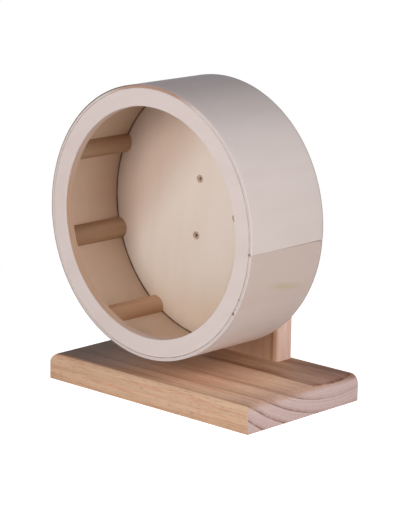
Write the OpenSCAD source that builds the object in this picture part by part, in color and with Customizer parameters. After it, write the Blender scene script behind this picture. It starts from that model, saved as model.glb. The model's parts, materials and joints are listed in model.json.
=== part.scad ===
// Wooden exercise wheel for a small rodent: a bent plywood drum that turns on two ball
// bearings in front of a post. Millimetres, +Z up, the open front of the drum towards -Y.
// The origin is the middle of the base board's underside.

/* [Base board] */
// Length of the board, side to side
base_l = 201; // [160:1:300]
// Depth of the board, front to back
base_d = 121; // [110:1:180]
// Thickness of the board
base_t = 20; // [12:0.5:30]
// Radius of the round-over along the board's front and end edges
base_round = 7; // [1:0.5:9]

/* [Drum] */
// Outside diameter of the drum
wheel_d = 200; // [160:1:260]
// Width of the drum, from the ring's face to the disc's back
wheel_w = 76; // [50:1:80]
// Gap between the drum and the board
wheel_gap = 15; // [5:0.5:40]
// Thickness of the bent plywood skin
skin_t = 2.4; // [1.5:0.1:4]
// Width of the seam where the skin's two ends meet
seam_gap = 0.4; // [0.2:0.1:1]
// Thickness of the front ring
ring_t = 7; // [4:0.5:12]
// Width of the front ring, from its opening to its rim
ring_w = 13.1; // [10:0.1:25]
// Thickness of the back disc
disc_t = 10; // [6:0.5:15]
// Chamfer that eases the edges of the plywood pieces
ply_ease = 0.4; // [0.2:0.1:0.7]
// Gap that the glue fills round the ring, the disc and the rungs
glue_gap = 0.1; // [0.05:0.05:0.3]
// Turn of the drum about its axle, as it stands
drum_turn = -4; // [-60:1:60]

/* [Rungs] */
// Number of rungs
rung_count = 9; // [5:1:12]
// Width of a rung's flat back
rung_w = 16; // [10:0.5:20]
// Height of a rung
rung_h = 6.5; // [3:0.5:8]

/* [Hub] */
// Diameter of the wooden hub
hub_d = 70; // [62:1:90]
// Chamfer round the hub
hub_ease = 1.5; // [0.5:0.5:3]
// Number of screws that hold the disc to the hub
hub_screw_count = 3; // [3:1:6]
// Diameter of the circle that the hub screws lie on
hub_screw_pcd = 50; // [42:1:52]
// Length of a hub screw
hub_screw_l = 25; // [20:1:28]
// Diameter of a hub screw
hub_screw_d = 3; // [2.5:0.5:4]
// Diameter of a hub screw's head
hub_head_d = 6; // [5.5:0.5:8]
// Depth of the hub screws' heads below the disc's face
hub_head_sink = 0.5; // [0.2:0.1:1]

/* [Bearings] */
// Bore of a bearing
bearing_bore = 8; // [6:0.5:9]
// Outside diameter of a bearing
bearing_d = 22; // [21:0.5:26]
// Width of a bearing
bearing_w = 7; // [7:0.5:9]
// Number of balls in a bearing
ball_count = 7; // [5:1:8]
// Diameter of a ball
ball_d = 3.969; // [3.5:0.001:4.1]
// Depth of the pocket in the hub in front of the front bearing
pocket_h = 7.5; // [7.5:0.5:12]
// Width of the shoulder between the bearings
shoulder_w = 1.5; // [1:0.5:6]
// Height of that shoulder, inwards from the bearings' seats
shoulder_h = 1.5; // [1:0.1:2]

/* [Axle] */
// Length of the bolt's end that stands out of the nut
bolt_tail = 2.3; // [1.5:0.1:8]
// Width across flats of the bolt's head and of the nut
hex_af = 13; // [13:0.5:14]
// Height of the bolt's head
head_h = 5.3; // [4:0.1:5.5]
// Height of the nut with its locking collar
nut_h = 8; // [7:0.5:9]
// Diameter of the washer under the nut
washer_d = 16; // [14:1:24]
// Thickness of a washer
washer_t = 1.6; // [1:0.1:1.8]
// Length of the spacer between the hub and the post
axle_spacer_l = 3; // [2:0.5:10]

/* [Post] */
// Width of the post
post_w = 74; // [56:1:90]
// Thickness of the post
post_t = 18; // [12:0.5:25]
// Radius of the round-over along the post's edges
post_round = 4; // [1:0.5:5]
// Distance between the two screws under the post
post_screw_spacing = 40; // [25:1:46]
// Length of a post screw
post_screw_l = 50; // [40:1:60]
// Diameter of a post screw
post_screw_d = 4.5; // [4:0.5:5]
// Diameter of a post screw's head
post_head_d = 8.8; // [8:0.1:10]
// Depth of the post screws' heads below the board's underside
post_head_sink = 0.6; // [0.3:0.1:2]

/* [Fits] */
// Radial clearance of a shaft or a race in its seat
seat_fit = 0.02; // [0.01:0.01:0.1]
// Radial clearance of a screw or the bolt in a drilled hole
hole_fit = 0.1; // [0.05:0.05:0.3]
// Clearance of a ball in its groove and in the cage
ball_fit = 0.06; // [0.04:0.01:0.1]
// Gap between parts of a bearing that turn past each other
race_gap = 0.35; // [0.3:0.05:0.5]

/* [Hidden] */
$fn = 96;

// Places along the drum's axis. The post's back is flush with the board's.
hub_t = pocket_h + 2 * bearing_w + shoulder_w;
post_back_y = base_d / 2;
post_front_y = post_back_y - post_t;
hub_back_y = post_front_y - axle_spacer_l;
wheel_back_y = hub_back_y - hub_t;
wheel_front_y = wheel_back_y - wheel_w;
disc_face_y = wheel_back_y - disc_t;
ring_back_y = wheel_front_y + ring_t;
front_bearing_y = wheel_back_y + pocket_h;
rear_bearing_y = front_bearing_y + bearing_w + shoulder_w;
head_seat_y = front_bearing_y - washer_t;
nut_y = post_back_y + washer_t;
bolt_l = nut_y + nut_h + bolt_tail - head_seat_y;

// Height of the axle, and the radii of the drum's pieces
wheel_r = wheel_d / 2;
axle_z = base_t + wheel_gap + wheel_r;
skin_in_r = wheel_r - skin_t;
plate_r = skin_in_r - glue_gap;
opening_r = plate_r - ring_w;

// A rung is cut from a round bar, and its flat back meets the skin along its two edges
rung_r = (rung_w * rung_w / 4 + rung_h * rung_h) / (2 * rung_h);
rung_seat_r = sqrt(plate_r * plate_r - rung_w * rung_w / 4);

// Inside a bearing: the circle of the balls' centres and what stands round it
pitch_r = (bearing_bore + bearing_d) / 4;
ball_r = ball_d / 2;
groove_r = ball_r + ball_fit;
race_step = 1.45;
inner_land_r = pitch_r - race_step;
outer_land_r = pitch_r + race_step;
race_ease = 0.3;
cage_half_t = 0.9;
cage_half_w = groove_r + race_gap;
shield_t = 0.4;
shield_depth = 0.35;
shield_step = 0.5;
shield_seat_r = outer_land_r + shield_step;

// The bolt, the nut and what is clamped between them
bolt_r = bearing_bore / 2 - seat_fit;
bolt_ease = 1;
spacer_r = inner_land_r - 0.25;
hex_corner_r = hex_af / 2 / cos(30);
hex_face_r = hex_af / 2 - 0.2;
collar_h = 2;
collar_r = hex_af / 2 - 0.4;
collar_ease = 0.5;
insert_t = 1.6;
insert_r = collar_r - 0.8;
insert_z = nut_h - insert_t - collar_ease;

// The cross recess in a screw's head, and the drilled hole beyond its point
recess_w = 0.9;
recess_depth = 1.6;
pilot_end = 2;
// How far a cutter runs past the face that it cuts
over = 1;

// Puts a shape that is drawn along +Z on the drum's axis, its foot at y and its top towards +Y
module on_axle(y) {
    translate([0, y, axle_z]) rotate([-90, 0, 0]) children();
}

// A tube from y = 0 upwards, its four edges eased by a chamfer
module tube(r_in, r_out, h, ease) {
    rotate_extrude() polygon([
        [r_in + ease, 0], [r_out - ease, 0], [r_out, ease], [r_out, h - ease],
        [r_out - ease, h], [r_in + ease, h], [r_in, h - ease], [r_in, ease]
    ]);
}

// A disc with its rim eased by a chamfer
module plate(r, h, ease) {
    rotate_extrude() polygon([
        [0, 0], [r - ease, 0], [r, ease], [r, h - ease], [r - ease, h], [0, h]
    ]);
}

// A plain ring
module washer(r_in, r_out, h) {
    difference() {
        cylinder(r = r_out, h = h);
        translate([0, 0, -over]) cylinder(r = r_in, h = h + 2 * over);
    }
}

// A countersunk screw that points along +Z, with the flat of its head at z = 0
module countersunk_screw(d, l, head_d) {
    cone_h = (head_d - d) / 2;
    tip_h = d;
    difference() {
        rotate_extrude() polygon([
            [0, 0], [head_d / 2, 0], [d / 2, cone_h], [d / 2, l - tip_h], [0, l]
        ]);
        for (a = [0, 90]) rotate([0, 0, a])
            translate([-d / 2, -recess_w / 2, -over]) cube([d, recess_w, over + recess_depth]);
    }
}

// The hole for such a screw
module countersunk_hole(d, l, head_d) {
    cone_h = (head_d - d) / 2;
    rotate_extrude() polygon([
        [0, -over], [head_d / 2 + hole_fit, -over], [head_d / 2 + hole_fit, 0],
        [d / 2 + hole_fit, cone_h], [d / 2 + hole_fit, l], [0, l]
    ]);
}

// Half the board's section, from its middle to an edge that is rounded over at the top
module rounded_half(w) {
    square([w / 2, base_t - base_round]);
    square([w / 2 - base_round, base_t]);
    translate([w / 2 - base_round, base_t - base_round]) circle(r = base_round);
}

// Sawn flush at the back, where the post stands, and rounded over along its other three edges
module base_board() {
    color("burlywood") difference() {
        intersection() {
            translate([0, base_d / 2, 0]) rotate([90, 0, 0]) linear_extrude(base_d) {
                rounded_half(base_l);
                mirror([1, 0]) rounded_half(base_l);
            }
            translate([-base_l / 2, 0, 0]) rotate([90, 0, 90]) linear_extrude(base_l) {
                square([base_d / 2, base_t]);
                mirror([1, 0]) rounded_half(base_d);
            }
        }
        post_screw_holes();
    }
}

// Places its child at each screw under the post
module at_post_screws() {
    for (side = [-1, 1])
        translate([side * post_screw_spacing / 2, post_back_y - post_t / 2, post_head_sink]) children();
}

module post_screw_holes() {
    at_post_screws() countersunk_hole(post_screw_d, post_screw_l + pilot_end, post_head_d);
}

// The post's round-over profile: half its width, from the middle outwards
module post_half_section() {
    translate([0, post_round]) square([post_w / 2, post_t - 2 * post_round]);
    square([post_w / 2 - post_round, post_t]);
    for (y = [post_round, post_t - post_round])
        translate([post_w / 2 - post_round, y]) circle(r = post_round);
}

module post() {
    color("burlywood") difference() {
        union() {
            translate([0, post_front_y, base_t]) linear_extrude(axle_z - base_t) {
                post_half_section();
                mirror([1, 0]) post_half_section();
            }
            on_axle(post_front_y) rotate([0, 0, 180])
                rotate_extrude(angle = 180) intersection() {
                    post_half_section();
                    square([post_w, post_t]);
                }
        }
        post_screw_holes();
        on_axle(post_front_y - over) cylinder(r = bearing_bore / 2 + hole_fit, h = post_t + 2 * over);
    }
}

module post_screws() {
    color("goldenrod") at_post_screws() countersunk_screw(post_screw_d, post_screw_l, post_head_d);
}

// A hexagon of height h whose top corners are cut by a 30 degree chamfer
module hex_body(h) {
    intersection() {
        cylinder(r = hex_corner_r, h = h, $fn = 6);
        rotate_extrude() polygon([
            [0, 0], [hex_corner_r, 0], [hex_corner_r, h - (hex_corner_r - hex_face_r) * tan(30)],
            [hex_face_r, h], [0, h]
        ]);
    }
}

module axle_bolt() {
    color("silver") {
        translate([0, head_seat_y, axle_z]) rotate([90, 0, 0]) hex_body(head_h);
        on_axle(head_seat_y) rotate_extrude() polygon([
            [0, -over], [bolt_r, -over], [bolt_r, bolt_l - bolt_ease],
            [bolt_r - bolt_ease, bolt_l], [0, bolt_l]
        ]);
    }
}

module front_washer() {
    color("silver") on_axle(head_seat_y) washer(bearing_bore / 2, spacer_r, washer_t);
}

module inner_spacer() {
    color("silver") on_axle(front_bearing_y + bearing_w)
        washer(bearing_bore / 2, spacer_r, shoulder_w);
}

module axle_spacer() {
    color("silver") on_axle(hub_back_y) washer(bearing_bore / 2, spacer_r, axle_spacer_l);
}

module rear_washer() {
    color("silver") on_axle(post_back_y) washer(bearing_bore / 2 + hole_fit, washer_d / 2, washer_t);
}

// A locking nut: a hexagon with a round collar that is grooved for the nylon ring
module axle_nut() {
    color("silver") on_axle(nut_y) difference() {
        union() {
            hex_body(nut_h - collar_h);
            plate(collar_r, nut_h, collar_ease);
        }
        translate([0, 0, -over]) cylinder(r = bearing_bore / 2, h = nut_h + 2 * over);
        translate([0, 0, insert_z]) cylinder(r = insert_r, h = insert_t);
    }
}

module nut_insert() {
    color("royalblue") on_axle(nut_y + insert_z) washer(bearing_bore / 2, insert_r, insert_t);
}

// Puts its child, drawn along +Z, on the drum's axis and turned with the drum
module on_drum(y, turn = 0) {
    translate([0, y, axle_z]) rotate([0, -drum_turn - turn, 0]) rotate([-90, 0, 0]) children();
}

module drum_skin() {
    color("wheat") on_drum(wheel_front_y) difference() {
        tube(skin_in_r, wheel_r, wheel_w, ply_ease);
        translate([skin_in_r - over, -seam_gap / 2, -over])
            cube([skin_t + 2 * over, seam_gap, wheel_w + 2 * over]);
    }
}

module front_ring() {
    color("wheat") on_drum(wheel_front_y) tube(opening_r, plate_r, ring_t, ply_ease);
}

// Places its child at the head of each hub screw, just below the disc's inner face
module at_hub_screws() {
    for (i = [0:hub_screw_count - 1]) rotate([0, 0, i * 360 / hub_screw_count])
        translate([hub_screw_pcd / 2, 0, hub_head_sink]) children();
}

module hub_screw_holes() {
    at_hub_screws() countersunk_hole(hub_screw_d, hub_screw_l + pilot_end, hub_head_d);
}

module back_disc() {
    color("wheat") on_drum(disc_face_y) difference() {
        plate(plate_r, disc_t, ply_ease);
        hub_screw_holes();
    }
}

module hub_screws() {
    color("peru") on_drum(disc_face_y) at_hub_screws()
        countersunk_screw(hub_screw_d, hub_screw_l, hub_head_d);
}

module hub_block() {
    seat_r = bearing_d / 2 + seat_fit;
    color("tan") difference() {
        on_drum(wheel_back_y) difference() {
            plate(hub_d / 2, hub_t, hub_ease);
            translate([0, 0, -over]) cylinder(r = bearing_d / 2 - shoulder_h, h = hub_t + 2 * over);
            translate([0, 0, -over]) cylinder(r = seat_r, h = over + pocket_h + bearing_w);
            translate([0, 0, hub_t - bearing_w]) cylinder(r = seat_r, h = bearing_w + over);
        }
        on_drum(disc_face_y) hub_screw_holes();
    }
}

// One half-round rung, from the ring to the disc, its flat back on the skin
module rung(i) {
    length = disc_face_y - ring_back_y;
    color("peru") on_drum(ring_back_y, (i - 1) * 360 / rung_count) intersection() {
        translate([rung_seat_r - rung_h + rung_r, 0, 0]) cylinder(r = rung_r, h = length);
        translate([rung_seat_r - 2 * rung_h, -rung_w, -over])
            cube([2 * rung_h, 2 * rung_w, length + 2 * over]);
    }
}

// The ring-shaped space that the balls run in
module ball_groove() {
    translate([0, 0, bearing_w / 2]) rotate_extrude() translate([pitch_r, 0]) circle(r = groove_r);
}

module bearing_inner_race(y) {
    color("lightsteelblue") on_axle(y) difference() {
        tube(bearing_bore / 2, inner_land_r, bearing_w, race_ease);
        ball_groove();
    }
}

module bearing_outer_race(y) {
    color("lightsteelblue") on_axle(y) difference() {
        tube(outer_land_r, bearing_d / 2, bearing_w, race_ease);
        ball_groove();
        for (z = [-over, bearing_w - shield_depth - shield_t])
            translate([0, 0, z]) cylinder(r = shield_seat_r, h = over + shield_depth + shield_t);
    }
}

module bearing_shields(y) {
    color("gray") on_axle(y)
        for (z = [shield_depth, bearing_w - shield_depth - shield_t])
            translate([0, 0, z]) washer(inner_land_r + race_gap, shield_seat_r - seat_fit, shield_t);
}

// Places its child at the middle of each ball
module at_balls() {
    for (i = [0:ball_count - 1]) rotate([0, 0, i * 360 / ball_count])
        translate([pitch_r, 0, bearing_w / 2]) children();
}

module bearing_cage(y) {
    color("goldenrod") on_axle(y) difference() {
        translate([0, 0, bearing_w / 2 - cage_half_w])
            washer(pitch_r - cage_half_t, pitch_r + cage_half_t, 2 * cage_half_w);
        at_balls() rotate([0, 90, 0]) cylinder(r = groove_r, h = 4 * cage_half_t, center = true);
    }
}

module bearing_balls(y) {
    color("silver") on_axle(y) at_balls() sphere(r = ball_r);
}

base_board();
post();
post_screws();
axle_bolt();
front_washer();
inner_spacer();
axle_spacer();
rear_washer();
axle_nut();
nut_insert();
drum_skin();
front_ring();
back_disc();
hub_block();
hub_screws();
for (i = [1:rung_count])
    rung(i);
for (side = [["front", front_bearing_y], ["rear", rear_bearing_y]]) {
    bearing_inner_race(side[1]);
    bearing_outer_race(side[1]);
    bearing_shields(side[1]);
    bearing_cage(side[1]);
    bearing_balls(side[1]);
}
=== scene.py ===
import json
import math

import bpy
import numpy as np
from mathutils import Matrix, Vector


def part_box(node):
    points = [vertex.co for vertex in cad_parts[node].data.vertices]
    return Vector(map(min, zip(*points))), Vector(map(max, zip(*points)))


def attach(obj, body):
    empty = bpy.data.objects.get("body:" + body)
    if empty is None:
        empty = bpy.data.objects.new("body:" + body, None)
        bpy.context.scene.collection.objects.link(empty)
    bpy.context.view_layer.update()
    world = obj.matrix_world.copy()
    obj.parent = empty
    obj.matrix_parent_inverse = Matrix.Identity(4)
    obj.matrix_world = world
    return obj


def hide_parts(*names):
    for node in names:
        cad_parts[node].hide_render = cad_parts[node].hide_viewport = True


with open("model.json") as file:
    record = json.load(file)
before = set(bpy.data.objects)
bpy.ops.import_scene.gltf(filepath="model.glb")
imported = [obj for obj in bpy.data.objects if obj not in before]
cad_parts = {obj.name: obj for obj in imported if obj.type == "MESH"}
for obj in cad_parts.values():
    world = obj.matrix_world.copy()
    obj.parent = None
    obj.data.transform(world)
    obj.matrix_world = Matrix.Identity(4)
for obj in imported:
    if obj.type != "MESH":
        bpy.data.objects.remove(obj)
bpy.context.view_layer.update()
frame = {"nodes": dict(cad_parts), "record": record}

# %% [markdown]
# A wooden running wheel for a small rodent
# The object is an open drum that turns on two ball bearings in front of a post, and the post stands on a
# board. The drum is a sheet of thin plywood bent round a plywood disc at the back and a plywood ring at the
# front, with half-round rungs glued inside as footholds. Post, board and rungs are bare pine. This script
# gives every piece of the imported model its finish, and makes two pieces again in more detail: the bent sheet
# and the axle bolt.

nodes = frame["nodes"]
MM = 0.001
TURN = 2 * math.pi

# %% [markdown]
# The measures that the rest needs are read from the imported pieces, so that nothing here can drift away from
# the solids. The axle's line is the middle of the bolt, and every round piece is described about it. A box
# doesn't tell how wide a piece is inside, so the sheet's inner radius and the thickness of the glue are
# written here.

# %% Measures from the solids
bolt_low, bolt_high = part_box("axle_bolt")
skin_low, skin_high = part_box("drum_skin")
ring_low, ring_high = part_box("front_ring")
disc_low, disc_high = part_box("back_disc")
board_low, board_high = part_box("base_board")
axle_height = (bolt_low.z + bolt_high.z) / 2
skin_radius = (skin_high.z - skin_low.z) / 2
disc_radius = (disc_high.z - disc_low.z) / 2
sheet_inner = 97.6 * MM
glue_gap = 0.1 * MM
print("axle height %.1f mm" % (axle_height / MM))
print("drum radius %.1f, disc radius %.1f mm" % (skin_radius / MM, disc_radius / MM))

# %% [markdown]
# The camera
# The photograph was taken from the right, a little above the object, with a long lens. A long lens far away
# gives the same size in the frame as a short one close by, but flattens the drum's ellipse as the photograph
# does. The three angles turn an upright camera: round the object, down to it, and a little about its own
# line of sight.

# %% Camera at the photograph's angle
azimuth, elevation, roll = np.radians([42.87, 12.94, 0.87])
camera_place = (1.0991, -1.1854, 0.4734)
outward = np.array([math.sin(azimuth), -math.cos(azimuth), 0.0])
back = outward * math.cos(elevation) + np.array([0.0, 0.0, math.sin(elevation)])
level = np.array([math.cos(azimuth), math.sin(azimuth), 0.0])
upright = np.cross(back, level)
right = level * math.cos(roll) + upright * math.sin(roll)
up = upright * math.cos(roll) - level * math.sin(roll)
camera = bpy.data.objects.new("camera", bpy.data.cameras.new("camera"))
bpy.context.scene.collection.objects.link(camera)
turn = Matrix([[right[i], up[i], back[i]] for i in range(3)]).to_4x4()
camera.matrix_world = Matrix.Translation(camera_place) @ turn
camera.data.sensor_width = 36.0
camera.data.lens = 158.3
camera.data.clip_end = 20.0
bpy.context.scene.camera = camera
bpy.context.scene.view_settings.view_transform = "Standard"
print("camera at", [round(v, 3) for v in camera.location])

# %% [markdown]
# Three small helpers
# Colours are written as they look on a screen, and one function turns them into the linear values that a
# shader works with. A second adds a node with its settings and its inputs. A third aims a soft lamp at the
# object.

# %% Colour, node and lamp helpers
def linear(screen):
    """The linear colour of a screen hex.
    Up to 0.04045 a channel is divided by 12.92, and above it follows a power of 2.4."""
    parts = [int(screen.lstrip("#")[i:i + 2], 16) / 255 for i in (0, 2, 4)]
    return (*[c / 12.92 if c <= 0.04045 else ((c + 0.055) / 1.055) ** 2.4 for c in parts], 1.0)


def add_node(tree, kind, inputs=None, stops=None, **settings):
    """Adds the shader node whose full name is ShaderNode and then kind, such as ShaderNodeMath for Math.
    Settings are its properties, and inputs gives its sockets constants or other nodes' outputs.
    stops are the marks of a colour ramp, each with a place from 0 to 1 and a grey or a hex colour."""
    node = tree.nodes.new("ShaderNode" + kind)
    for name, value in settings.items():
        setattr(node, name, value)
    for socket, value in (inputs or {}).items():
        if isinstance(value, bpy.types.NodeSocket):
            tree.links.new(value, node.inputs[socket])
        else:
            node.inputs[socket].default_value = value
    if stops:
        marks = node.color_ramp.elements
        while len(marks) < len(stops):
            marks.new(0.5)
        for mark, (where, tone) in zip(marks, stops):
            mark.position = where
            mark.color = linear(tone) if isinstance(tone, str) else (tone, tone, tone, 1.0)
    return node


def soft_lamp(name, place, target, width, watts, colour):
    """A square lamp at place, turned to face target. A wide lamp gives a soft edge to every shadow."""
    lamp = bpy.data.objects.new(name, bpy.data.lights.new(name, "AREA"))
    lamp.data.size = width
    lamp.data.energy = watts
    lamp.data.color = linear(colour)[:3]
    lamp.location = place
    lamp.rotation_euler = (Vector(target) - Vector(place)).to_track_quat("-Z", "Y").to_euler()
    lamp.visible_camera = False
    bpy.context.scene.collection.objects.link(lamp)
    print("%s: %.1f W at %s" % (name, watts, [round(v, 2) for v in place]))
    return lamp


# %% [markdown]
# The light
# The drum's face and its right side are pale, its top is dark and cool, and the board is in shade on its
# left. So there is no lamp overhead: one wide lamp stands low and straight in front, and two small ones
# stand close by on the right, of which the low one also reaches under the drum. The room adds only a weak
# cool light. Two more, behind and on the left, light what the photograph doesn't show. The rear one makes no
# reflections, because it grazes the sheet's left side, which would glitter when seen from the front, and it
# would burn out the nut.

# %% Lamps
middle = (0.0, -0.01, 0.12)
daylight = "#FDFBFF"
soft_lamp("front lamp", (0.0, -1.082, 0.365), middle, 0.55, 7.5, daylight)
soft_lamp("right lamp", (0.463, -0.07, 0.3), middle, 0.25, 0.8, daylight)
soft_lamp("low right lamp", (0.494, -0.08, 0.146), middle, 0.25, 0.57, daylight)
rear_lamp = soft_lamp("rear lamp", (-0.3, 1.05, 0.1), middle, 0.4, 4.5, daylight)
rear_lamp.visible_glossy = False
soft_lamp("left lamp", (-0.95, 0.12, 0.08), middle, 0.3, 3.0, daylight)

# %% [markdown]
# The room and the floor
# The picture's background is white. The floor and the room show white to the camera and to mirror-like
# surfaces, by the Light Path node, but light the object no more than a plain studio would. Near the object
# the floor also shows the light that falls on it, so the board keeps a faint shadow where it stands.

# %% Room
WHITE = (1.0, 1.0, 1.0, 1.0)
room_strength = 0.28


def looked_at(tree):
    """1 for what is seen, straight or by way of a mirror or glass, and 0 for what only lights the object."""
    path = add_node(tree, "LightPath").outputs
    mirror = add_node(tree, "Math", {0: path["Is Glossy Ray"], 1: path["Is Transmission Ray"]},
                      operation="MAXIMUM").outputs[0]
    return add_node(tree, "Math", {0: path["Is Camera Ray"], 1: mirror}, operation="MAXIMUM").outputs[0]


room = bpy.data.worlds.new("room")
bpy.context.scene.world = room
room.use_nodes = True
room.node_tree.nodes.clear()
dim = {"Color": linear("#E4ECFF"), "Strength": room_strength}
dim = add_node(room.node_tree, "Background", dim).outputs[0]
white = add_node(room.node_tree, "Background", {"Color": WHITE, "Strength": 1.0}).outputs[0]
both = add_node(room.node_tree, "MixShader", {0: looked_at(room.node_tree), 1: dim, 2: white}).outputs[0]
add_node(room.node_tree, "OutputWorld", {"Surface": both})
print("the room shows white, and lights the object with a strength of", room_strength)

# %% Floor
floor_half, shade_near, white_beyond = 8.0, 0.16, 0.42


def floor_finish():
    """Pale matt floor. Near the object it shows its own shading, and plain white takes over with distance."""
    material = bpy.data.materials.new("pale studio floor")
    material.use_nodes = True
    tree = material.node_tree
    tree.nodes.clear()
    place = add_node(tree, "TexCoord").outputs["Object"]
    away = add_node(tree, "VectorMath", {0: place}, operation="LENGTH").outputs["Value"]
    far = add_node(tree, "MapRange", {"Value": away, "From Min": shade_near, "From Max": white_beyond},
                   interpolation_type="SMOOTHSTEP").outputs[0]
    matt = add_node(tree, "BsdfDiffuse", {"Color": linear("#E9E9E9")}).outputs[0]
    glow = add_node(tree, "Emission", {"Color": WHITE, "Strength": 0.84}).outputs[0]
    near = add_node(tree, "AddShader", {0: matt, 1: glow}).outputs[0]
    plain = add_node(tree, "Emission", {"Color": WHITE, "Strength": 1.0}).outputs[0]
    shown = add_node(tree, "MixShader", {0: far, 1: near, 2: plain}).outputs[0]
    final = add_node(tree, "MixShader", {0: looked_at(tree), 1: matt, 2: shown}).outputs[0]
    add_node(tree, "OutputMaterial", {"Surface": final})
    return material


floor_corners = [(-1, -1), (1, -1), (1, 1), (-1, 1)]
floor_mesh = bpy.data.meshes.new("floor")
floor_mesh.from_pydata([(x * floor_half, y * floor_half, 0) for x, y in floor_corners], [], [(0, 1, 2, 3)])
floor_mesh.materials.append(floor_finish())
floor = bpy.data.objects.new("floor", floor_mesh)
bpy.context.scene.collection.objects.link(floor)
print("floor at the board's underside, z =", round(board_low.z, 4))

# %% [markdown]
# A grid becomes a mesh
# Both new pieces are surfaces of two parameters: one runs round the axle and one along a profile. numpy
# works out every point at once, and one helper joins the rows of the grid into faces. A closed profile wraps
# onto its first point, and caps close the ends where the surface doesn't wrap the other way too.

# %% Grid helper
def grid_mesh(name, points, wrap_rows, wrap_columns, caps):
    """points has the shape rows, columns, 3.
    Each face joins four neighbours: (i, j), (i, j+1), (i+1, j+1), (i+1, j)."""
    rows, columns = points.shape[:2]
    row_steps = np.arange(rows if wrap_rows else rows - 1)
    column_steps = np.arange(columns if wrap_columns else columns - 1)
    i, j = [grid.ravel() for grid in np.meshgrid(row_steps, column_steps, indexing="ij")]
    below, beside = (i + 1) % rows, (j + 1) % columns
    corners = [i * columns + j, i * columns + beside, below * columns + beside, below * columns + j]
    faces = [tuple(q) for q in np.stack(corners, axis=1).tolist()]
    if caps:
        faces.append(tuple(range(columns))[::-1])
        faces.append(tuple(range((rows - 1) * columns, rows * columns)))
    mesh = bpy.data.meshes.new(name)
    mesh.from_pydata(points.reshape(-1, 3).tolist(), [], faces)
    mesh.validate()
    mesh.shade_smooth()
    piece = bpy.data.objects.new(name, mesh)
    bpy.context.scene.collection.objects.link(piece)
    print("%s: %d points, %d faces" % (name, len(mesh.vertices), len(mesh.polygons)))
    return piece


# %% [markdown]
# The bent sheet
# On the real wheel this is a strip of three-ply, bent until its two ends meet. Stretching a plain ring would
# give its size, but not what shows that it is wood: eased edges, a joint that is tight at the front and open
# at the back, a lower end that springs in a little, and small chips where the front edge was sawn. So its
# section is a rounded rectangle carried round the axle, and each point is then moved by the formulas in the
# functions.

# %% Section of the sheet
sheet_front, sheet_back = skin_low.y, skin_high.y
sheet_outer = skin_radius
edge_round, inner_round = 0.35 * MM, 0.12 * MM


def sheet_section(along, corner):
    """A rectangle with quarter-circle corners, anticlockwise seen from +X, as (radius, y) points.
    Each side has `along` steps and each corner `corner` points."""
    quarter = np.linspace(0.0, math.pi / 2, corner)
    centres = [(sheet_outer, sheet_front, 1, 1), (sheet_outer, sheet_back, 1, -1),
               (sheet_inner, sheet_back, -1, -1), (sheet_inner, sheet_front, -1, 1)]
    arcs = []
    for k, (radius, y, outward, inward) in enumerate(centres):
        angle = k * math.pi / 2 - math.pi / 2 + quarter
        eased = edge_round if outward > 0 else inner_round
        arc_radius = radius - outward * eased + eased * np.cos(angle)
        arc_y = y + inward * eased + eased * np.sin(angle)
        arcs.append(np.stack([arc_radius, arc_y], axis=1))
    section = []
    for k in range(4):
        start, end = arcs[k][-1], arcs[(k + 1) % 4][0]
        steps = np.linspace(0.0, 1.0, along[k] + 1)[1:-1, None]
        section.extend([arcs[k], start + (end - start) * steps])
    return np.concatenate(section)


section = sheet_section((20, 4, 20, 4), 5)
print("section of %d points" % len(section))
print("it measures %.1f by %.1f mm" % (np.ptp(section[:, 0]) / MM, np.ptp(section[:, 1]) / MM))

# %% [markdown]
# The sheet's joint and wear
# Angles go anticlockwise seen from the front, from the right-hand side of the axle. The joint is just below
# that side. Each chip of the front edge has an angle in degrees, and a width and a depth in millimetres.

# %% Sheet carried round the axle
seam = math.radians(-4.0)
joint_front, joint_growth = 0.12 * MM, 0.5 * MM
spring_depth, spring_reach = 0.22 * MM, 14 * MM
wave_height = 0.05 * MM
corner_inward, corner_backward = 0.9 * MM, 1.1 * MM
chips = [(-4.6, 1.3, 0.9), (-24.6, 1.0, 0.7), (-27.2, 0.5, 0.4), (-31.6, 1.5, 1.0), (57.0, 0.7, 0.4),
         (-72.0, 0.6, 0.4)]


def bent_sheet(section, turns):
    """The section's (radius, y) is carried round the axle from one face of the joint to the other.
    The joint's width grows by the square of the share of the way from front to back.
    Near its lower side the radius shrinks by the square of the closeness to the joint.
    Two sine waves, with 3 and 7 crests round the drum, move the whole sheet inwards a little, never outwards.
    A chip moves the front edge's inner corner, by a bell curve in the angle times a falloff from there."""
    radius, y = section[:, 0], section[:, 1]
    depth = (y - sheet_front) / (sheet_back - sheet_front)
    gap = (joint_front + joint_growth * depth ** 2) / sheet_outer
    share = np.linspace(0.0, 1.0, turns)[:, None]
    angle = seam + gap / 2 + share * (TURN - gap)
    to_joint = (TURN - (angle - seam)) * sheet_outer
    sprung = spring_depth * np.clip(1 - to_joint / spring_reach, 0.0, 1.0) ** 2
    waves = np.sin(3 * angle + 0.7) + 0.6 * np.sin(7 * angle + 60 * y + 2.1)
    uneven = wave_height * (waves - 1.6)
    shown_radius = radius - sprung + uneven
    shown_y = np.broadcast_to(y, shown_radius.shape).copy()
    inner_edge = np.exp(-((radius - sheet_inner) / corner_inward) ** 2)
    front_edge = np.exp(-((y - sheet_front) / corner_backward) ** 2)
    for degrees, width, cut in chips:
        off = (angle - math.radians(degrees) + math.pi) % TURN - math.pi
        bell = np.exp(-(off * sheet_inner / (width * 0.5 * MM)) ** 2)
        shown_y += cut * MM * bell * inner_edge * front_edge
        shown_radius += 0.5 * cut * MM * bell * inner_edge * front_edge
    x, z = shown_radius * np.cos(angle), axle_height + shown_radius * np.sin(angle)
    return np.stack([x, shown_y, z], axis=2)


sheet = grid_mesh("bent_sheet", bent_sheet(section, 1441), False, True, True)
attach(sheet, "wheel")
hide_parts("drum_skin")

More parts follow.
